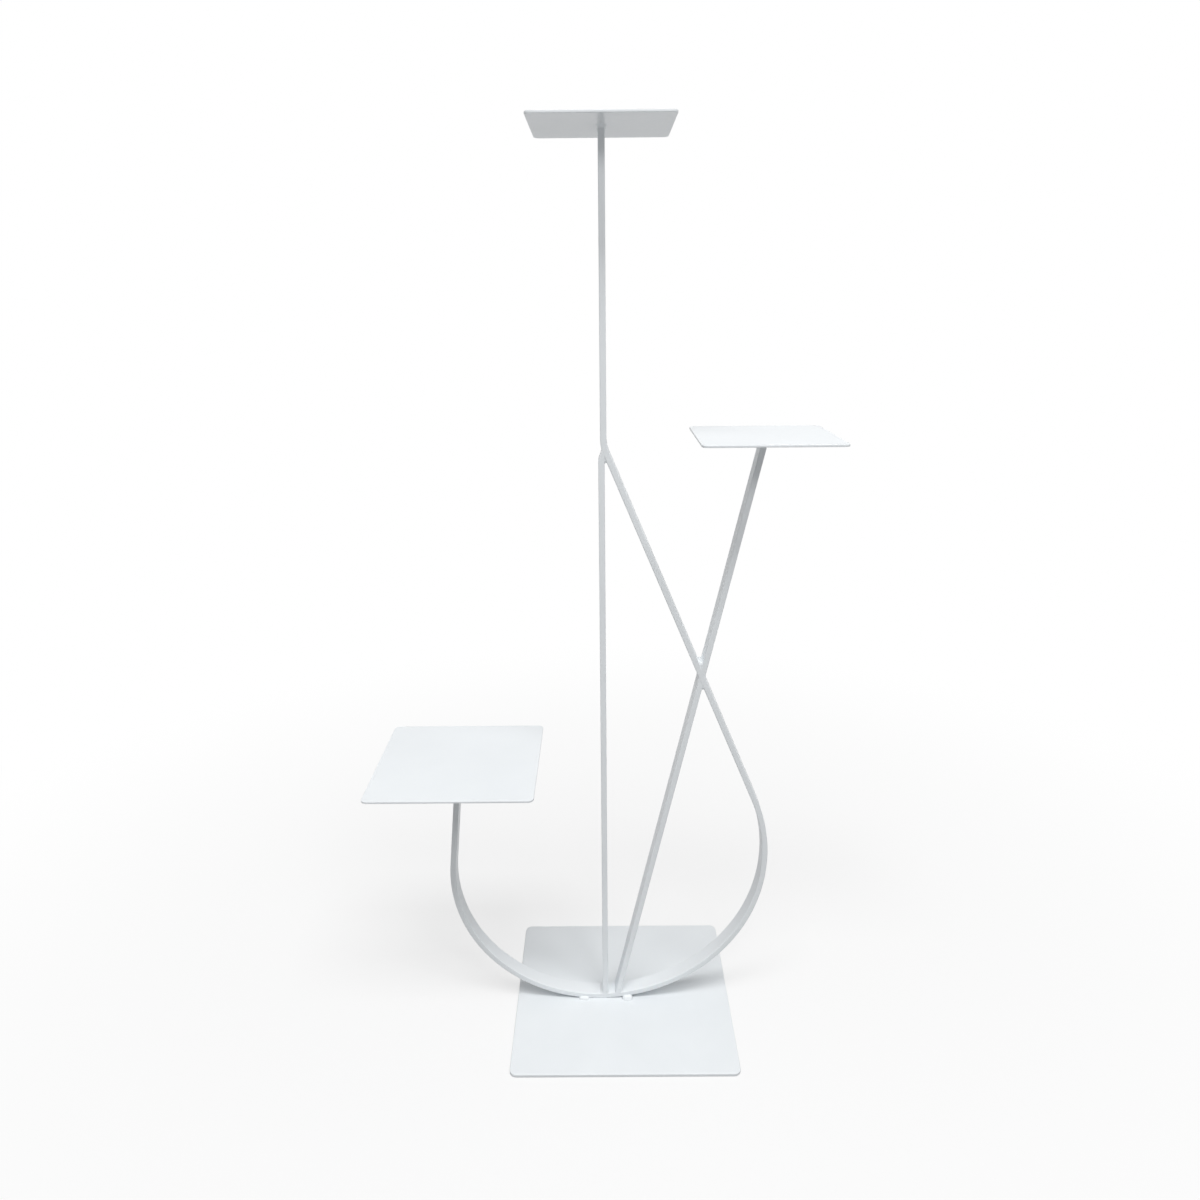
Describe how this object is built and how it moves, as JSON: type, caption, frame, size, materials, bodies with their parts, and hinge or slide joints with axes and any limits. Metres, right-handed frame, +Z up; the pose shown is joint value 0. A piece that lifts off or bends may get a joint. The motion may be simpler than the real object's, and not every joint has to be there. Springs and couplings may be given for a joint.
{
  "type": "tiered stand",
  "caption": "Free-standing tiered flower stand of bent flat steel bars welded to a square base plate, with square plate shelves at different heights for pots.",
  "frame": {"origin": "middle of the base plate's underside, on the floor", "axes": "+Z up, +X to the right towards the middle shelf, +Y to the back"},
  "size_m": [0.6093, 0.32, 1.211],
  "materials": {
    "white_enamel": "white gloss enamel"
  },
  "bodies": {
    "root": {"base_plate": "white_enamel", "low_shelf": "white_enamel", "middle_shelf": "white_enamel", "top_shelf": "white_enamel", "low_arm": "white_enamel", "top_arm": "white_enamel", "centre_post": "white_enamel", "strut_lower": "white_enamel", "strut_upper": "white_enamel", "low_arm_tack_front": "white_enamel", "low_arm_tack_back": "white_enamel", "top_arm_tack_front": "white_enamel", "top_arm_tack_back": "white_enamel", "post_foot_weld": "white_enamel", "strut_foot_weld": "white_enamel", "post_head_weld": "white_enamel", "crossing_weld_top": "white_enamel", "crossing_weld_right": "white_enamel", "crossing_weld_bottom": "white_enamel", "crossing_weld_left": "white_enamel", "low_shelf_weld": "white_enamel", "middle_shelf_weld": "white_enamel", "top_shelf_weld": "white_enamel"}
  },
  "joints": []
}
